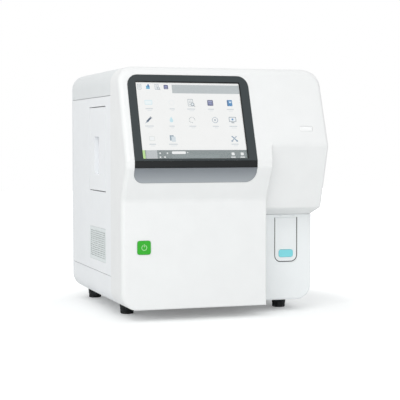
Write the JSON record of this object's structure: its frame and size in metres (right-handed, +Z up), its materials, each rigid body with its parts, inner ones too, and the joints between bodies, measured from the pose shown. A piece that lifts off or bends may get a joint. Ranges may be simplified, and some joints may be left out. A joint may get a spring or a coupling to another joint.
{
  "type": "hematology analyzer",
  "caption": "Bench-top hematology analyzer with a leaning touch screen, a motorised sample tube drawer and a hinged side service door.",
  "frame": {"origin": "on the bench, under the middle of the unit's overall box", "axes": "+Z up, -Y out of the front with the screen, +X to the operator's right"},
  "size_m": [0.436, 0.486, 0.51],
  "materials": {
    "white_cover": "satin moulded",
    "blue_white_paint": "fine powder coat",
    "blue_white_cover": "fine texture moulded",
    "bezel_plastic": "satin moulded",
    "silver_plastic": "silver lacquer",
    "screen_glass": "polished",
    "display": "lit panel",
    "green_plastic": "semi-gloss",
    "cyan_plastic": "semi-gloss",
    "grey_plastic": "matte moulded",
    "black_plastic": "matte moulded",
    "clear_plastic": "clear",
    "rubber": "matte",
    "foam": "open-cell foam",
    "steel": "ground",
    "zinc_sheet": "zinc plated",
    "aluminium": "bead blasted",
    "motor_case": "black lacquer",
    "brass": "machined",
    "circuit_board": "solder mask"
  },
  "bodies": {
    "analyzer": {"air_filter": "foam", "air_filter_grille": "grey_plastic", "base_tray": "blue_white_paint", "carriage_motor": "motor_case", "carriage_rod_lower": "steel", "carriage_rod_upper": "steel", "data_ports": "steel", "diluent_barrel": "clear_plastic", "display_module": "display", "door_hinge_lower": "steel", "door_hinge_upper": "steel", "drawer_motor": "motor_case", "drawer_rail_left": "steel", "drawer_rail_right": "steel", "fan_frame": "black_plastic", "fluidics_plate": "zinc_sheet", "foot_front_left": "rubber", "foot_front_right": "rubber", "foot_rear_left": "rubber", "foot_rear_right": "rubber", "front_cover": "white_cover", "indicator_lens": "clear_plastic", "left_side_panel": "blue_white_paint", "lyse_barrel": "clear_plastic", "main_board": "circuit_board", "mains_inlet": "black_plastic", "port_block": "grey_plastic", "power_supply": "aluminium", "power_switch": "black_plastic", "rear_cover": "blue_white_cover", "red_cell_bath": "clear_plastic", "right_side_panel": "blue_white_paint", "sampler_frame": "zinc_sheet", "sampling_panel": "white_cover", "screen_bezel": "bezel_plastic", "screen_chin": "silver_plastic", "top_cover": "blue_white_paint", "touch_glass": "screen_glass", "valve_manifold": "black_plastic", "waste_pump": "grey_plastic", "white_cell_bath": "clear_plastic"},
    "power_button": {"power_button": "green_plastic"},
    "tube_drawer": {"tube_drawer": "white_cover", "tube_holder": "grey_plastic", "drawer_rack": "black_plastic"},
    "start_button": {"start_button": "cyan_plastic"},
    "drawer_pinion": {"drawer_pinion": "brass"},
    "side_door": {"side_door": "blue_white_cover"},
    "sampler_carriage": {"sampler_carriage": "aluminium", "needle_motor": "motor_case", "wash_collar": "clear_plastic"},
    "carriage_screw": {"carriage_screw": "steel"},
    "needle_holder": {"needle_holder": "aluminium", "sample_needle": "steel"},
    "needle_screw": {"needle_screw": "steel"},
    "plunger_yoke": {"plunger_yoke": "steel"},
    "pump_rotor": {"pump_rotor": "steel"},
    "fan_rotor": {"fan_rotor": "black_plastic"},
    "rocker_switch": {"rocker_switch": "black_plastic"}
  },
  "joints": [
    {"name": "power_press", "type": "slide", "parent": "analyzer", "child": "power_button", "axis": [0, 1, 0], "range_m": [0, 0.0015], "stiffness_N_per_m": 600},
    {"name": "drawer_slide", "type": "slide", "parent": "analyzer", "child": "tube_drawer", "axis": [0, -1, 0], "range_m": [0, 0.065]},
    {"name": "start_press", "type": "slide", "parent": "tube_drawer", "child": "start_button", "axis": [0, 1, 0], "range_m": [0, 0.001], "stiffness_N_per_m": 400},
    {"name": "pinion_turn", "type": "hinge", "parent": "analyzer", "child": "drawer_pinion", "pos_m": [0.15275, -0.1092, 0.1059], "axis": [0, 0, 1], "range_deg": [0, 621]},
    {"name": "door_hinge", "type": "hinge", "parent": "analyzer", "child": "side_door", "pos_m": [-0.2135, 0.0568, 0.34375], "axis": [0, 0, -1], "range_deg": [0, 100]},
    {"name": "carriage_slide", "type": "slide", "parent": "analyzer", "child": "sampler_carriage", "axis": [0, 1, 0], "range_m": [0, 0.095]},
    {"name": "carriage_screw_turn", "type": "hinge", "parent": "analyzer", "child": "carriage_screw", "pos_m": [0.13, -0.1182, 0.415], "axis": [0, 1, 0], "range_deg": [0, 3421]},
    {"name": "needle_slide", "type": "slide", "parent": "sampler_carriage", "child": "needle_holder", "axis": [0, 0, -1], "range_m": [0, 0.085]},
    {"name": "needle_screw_turn", "type": "hinge", "parent": "sampler_carriage", "child": "needle_screw", "pos_m": [0.15875, -0.0842, 0.2215], "axis": [0, 0, 1], "range_deg": [0, 6121]},
    {"name": "plunger_slide", "type": "slide", "parent": "analyzer", "child": "plunger_yoke", "axis": [0, 0, -1], "range_m": [0, 0.03]},
    {"name": "pump_turn", "type": "hinge", "parent": "analyzer", "child": "pump_rotor", "pos_m": [-0.1338, 0.026, 0.3], "axis": [1, 0, 0], "continuous": true},
    {"name": "fan_turn", "type": "hinge", "parent": "analyzer", "child": "fan_rotor", "pos_m": [-0.04, 0.217, 0.4], "axis": [0, 1, 0], "continuous": true},
    {"name": "rocker_turn", "type": "hinge", "parent": "analyzer", "child": "rocker_switch", "pos_m": [0.15, 0.2357, 0.1315], "axis": [1, 0, 0], "range_deg": [0, 16]}
  ],
  "couplings": [
    {"joint": "pinion_turn", "follows": "drawer_slide", "rad_per_m": 166.67},
    {"joint": "carriage_screw_turn", "follows": "carriage_slide", "rad_per_m": 628.32},
    {"joint": "needle_screw_turn", "follows": "needle_slide", "rad_per_m": 1256.6}
  ]
}
